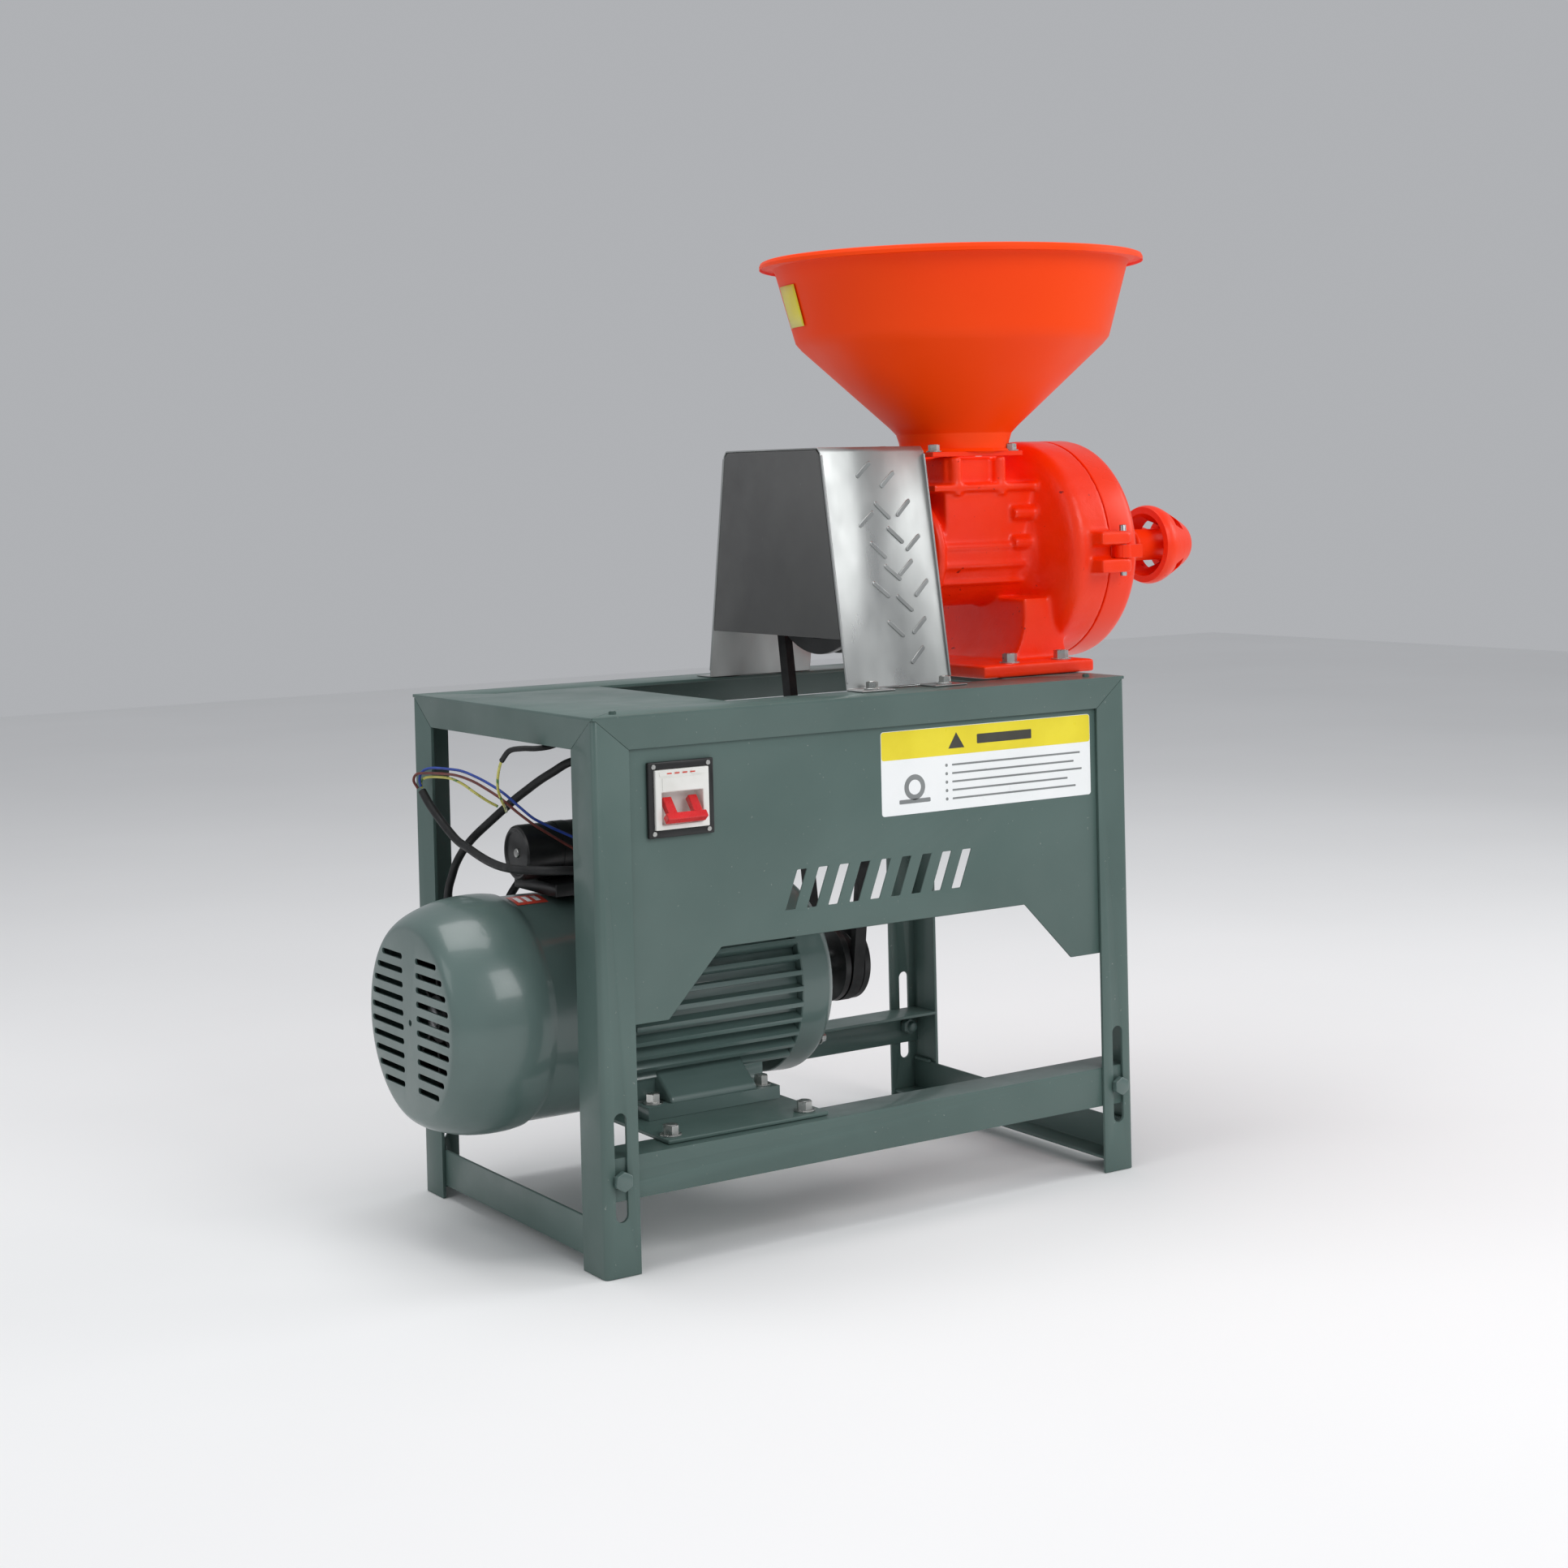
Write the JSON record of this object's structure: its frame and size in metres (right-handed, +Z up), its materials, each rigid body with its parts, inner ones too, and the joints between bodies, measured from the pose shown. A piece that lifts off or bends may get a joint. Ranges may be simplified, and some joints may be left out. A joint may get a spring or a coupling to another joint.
{
  "type": "belt-driven disc mill",
  "caption": "Grain mill on an open steel stand: round hopper and burr drum on top, belt under a guard, motor on height-adjusted rails below.",
  "frame": {"origin": "centre of the overall footprint, on the floor", "axes": "+X from the motor's fan cowl to the mill's handwheel, +Y from the switch panel to the open rear, +Z up"},
  "size_m": [0.936, 0.394, 0.915],
  "materials": {
    "stand_paint": "satin slate green-grey powder coat",
    "motor_paint": "satin grey-green enamel",
    "mill_paint": "gloss orange-red enamel",
    "guard_steel": "satin",
    "steel": "turned",
    "cast_iron": "as cast, dark",
    "black_plastic": "moulded, semi-matt",
    "white_plastic": "moulded, semi-matt",
    "red_plastic": "moulded, gloss",
    "rubber": "matt",
    "blue_insulation": "smooth",
    "brown_insulation": "smooth",
    "earth_insulation": "smooth"
  },
  "bodies": {
    "stand": {"post_front_left": "stand_paint", "post_rear_left": "stand_paint", "post_front_right": "stand_paint", "post_rear_right": "stand_paint", "low_rail_left": "stand_paint", "low_rail_right": "stand_paint", "top_rail_front": "stand_paint", "top_rail_rear": "stand_paint", "deck_left": "stand_paint", "top_rail_right": "stand_paint", "mill_bearer": "stand_paint", "front_panel": "stand_paint", "switch_bezel": "black_plastic", "switch_body": "white_plastic", "belt_guard": "guard_steel", "guard_plate_left": "guard_steel", "guard_plate_right": "guard_steel", "mill_casting": "mill_paint", "bearing_cap": "mill_paint", "bearing_outboard": "steel", "bearing_inboard": "steel", "hinge_pin": "steel", "hopper": "mill_paint", "v_belt": "rubber", "switch_lead": "rubber", "earth_lead": "earth_insulation"},
    "motor_carriage": {"motor_rail_front": "stand_paint", "motor_rail_rear": "stand_paint", "clamp_bolt_front_left": "steel", "clamp_bolt_front_right": "steel", "clamp_bolt_rear_left": "steel", "clamp_bolt_rear_right": "steel", "motor_base_plate": "stand_paint", "motor_housing": "motor_paint", "drive_end_bell": "motor_paint", "fan_end_shield": "motor_paint", "fan_cowl": "motor_paint", "stator": "cast_iron", "terminal_tray": "black_plastic", "capacitor": "black_plastic", "supply_lead": "rubber", "core_blue": "blue_insulation", "core_brown": "brown_insulation", "core_earth": "earth_insulation"},
    "motor_rotor": {"motor_rotor": "steel", "cooling_fan": "black_plastic", "motor_pulley": "cast_iron"},
    "mill_rotor": {"mill_shaft": "steel", "mill_pulley": "cast_iron", "feed_auger": "cast_iron", "rotating_burr": "cast_iron"},
    "cover": {"drum_cover": "mill_paint"},
    "wing_bolt": {"wing_bolt": "steel"},
    "burr_slide": {"burr_carrier": "cast_iron", "stationary_burr": "cast_iron"},
    "adjuster": {"adjusting_screw": "steel", "lock_nut": "steel", "handwheel": "mill_paint"},
    "switch_lever": {"switch_lever": "red_plastic"},
    "feed_gate": {"feed_gate": "mill_paint"}
  },
  "joints": [
    {"name": "motor_height", "type": "slide", "parent": "stand", "child": "motor_carriage", "axis": [0, 0, 1], "range_m": [-0.008, 0.03], "deforming": ["v_belt", "switch_lead", "earth_lead"]},
    {"name": "motor_spin", "type": "hinge", "parent": "motor_carriage", "child": "motor_rotor", "pos_m": [-0.223, 0, 0.2083], "axis": [1, 0, 0], "continuous": true},
    {"name": "mill_spin", "type": "hinge", "parent": "stand", "child": "mill_rotor", "pos_m": [0.127, 0, 0.612], "axis": [1, 0, 0], "continuous": true},
    {"name": "cover_hinge", "type": "hinge", "parent": "stand", "child": "cover", "pos_m": [0.279, -0.124, 0.612], "axis": [0, 0, -1], "range_deg": [0, 110]},
    {"name": "wing_bolt_turn", "type": "hinge", "parent": "cover", "child": "wing_bolt", "pos_m": [0.279, 0.122, 0.612], "axis": [1, 0, 0], "range_deg": [0, 720]},
    {"name": "burr_gap", "type": "slide", "parent": "cover", "child": "burr_slide", "axis": [1, 0, 0], "range_m": [-0.001, 0.006]},
    {"name": "adjuster_turn", "type": "hinge", "parent": "burr_slide", "child": "adjuster", "pos_m": [0.347, 0, 0.612], "axis": [1, 0, 0], "range_deg": [-181, 1081]},
    {"name": "breaker_lever", "type": "hinge", "parent": "stand", "child": "switch_lever", "pos_m": [-0.2855, -0.1775, 0.4135], "axis": [-1, 0, 0], "range_deg": [0, 100]},
    {"name": "gate_slide", "type": "slide", "parent": "stand", "child": "feed_gate", "axis": [0, 1, 0], "range_m": [0, 0.066]}
  ],
  "couplings": [
    {"joint": "mill_spin", "follows": "motor_spin", "ratio": 0.38122},
    {"joint": "adjuster_turn", "follows": "burr_gap", "rad_per_m": 3141.6}
  ]
}
